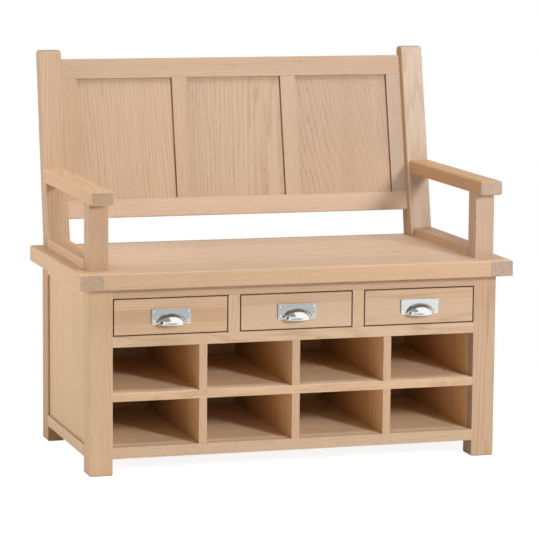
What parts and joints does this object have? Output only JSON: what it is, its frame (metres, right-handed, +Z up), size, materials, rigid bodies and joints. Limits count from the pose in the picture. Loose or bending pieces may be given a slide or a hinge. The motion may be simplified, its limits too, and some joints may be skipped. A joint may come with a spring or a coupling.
{
  "type": "hall bench",
  "caption": "Oak hall bench: settle seat with arms and raked panelled back over a shoe cabinet with sliding drawers and open pigeonholes.",
  "frame": {"origin": "on the floor, under the middle of the bounding box", "axes": "+X along the bench, to the right as seen from the front; +Y from the front to the back; +Z up"},
  "size_m": [1.1, 0.6338, 0.99],
  "materials": {
    "oak": "pale limed oak, satin lacquer",
    "oak_back": "oak-faced board, matt",
    "drawer_wood": "plain pale wood, unlacquered",
    "chrome": "polished chrome plate",
    "screw_steel": "zinc-plated steel"
  },
  "bodies": {
    "bench": {"leg_front_left": "oak", "leg_front_right": "oak", "leg_rear_left": "oak", "leg_rear_right": "oak", "side_bottom_rail_left": "oak", "side_bottom_rail_right": "oak", "side_top_rail_left": "oak", "side_top_rail_right": "oak", "side_panel_left": "oak", "side_panel_right": "oak", "inner_side_left": "oak", "inner_side_right": "oak", "front_bottom_rail": "oak", "drawer_rail": "oak", "front_top_rail": "oak", "drawer_stile_left": "oak", "drawer_stile_right": "oak", "middle_shelf": "oak", "cabinet_floor": "oak", "drawer_deck": "oak", "pigeonhole_dividers": "oak", "drawer_guides": "oak", "seat_board": "oak", "seat_end_left": "oak", "seat_end_right": "oak", "upright_left": "oak", "upright_right": "oak", "back_bottom_rail": "oak", "back_top_rail": "oak", "back_stile_left": "oak", "back_stile_right": "oak", "back_mullion_left": "oak", "back_mullion_right": "oak", "back_panel_left": "oak", "back_panel_middle": "oak", "back_panel_right": "oak", "armrest_left": "oak", "armrest_right": "oak", "arm_post_left": "oak", "arm_post_right": "oak", "arm_rail_left": "oak", "arm_rail_right": "oak", "cabinet_back": "oak_back", "seat_screws": "screw_steel"},
    "drawer_left": {"drawer_left_front": "oak", "drawer_left_box": "drawer_wood", "drawer_left_bottom": "drawer_wood", "drawer_left_pull": "chrome", "drawer_left_pull_screws": "chrome"},
    "drawer_middle": {"drawer_middle_front": "oak", "drawer_middle_box": "drawer_wood", "drawer_middle_bottom": "drawer_wood", "drawer_middle_pull": "chrome", "drawer_middle_pull_screws": "chrome"},
    "drawer_right": {"drawer_right_front": "oak", "drawer_right_box": "drawer_wood", "drawer_right_bottom": "drawer_wood", "drawer_right_pull": "chrome", "drawer_right_pull_screws": "chrome"}
  },
  "joints": [
    {"name": "drawer_left_slide", "type": "slide", "parent": "bench", "child": "drawer_left", "axis": [0, -1, 0], "range_m": [0, 0.3]},
    {"name": "drawer_middle_slide", "type": "slide", "parent": "bench", "child": "drawer_middle", "axis": [0, -1, 0], "range_m": [0, 0.3]},
    {"name": "drawer_right_slide", "type": "slide", "parent": "bench", "child": "drawer_right", "axis": [0, -1, 0], "range_m": [0, 0.3]}
  ]
}
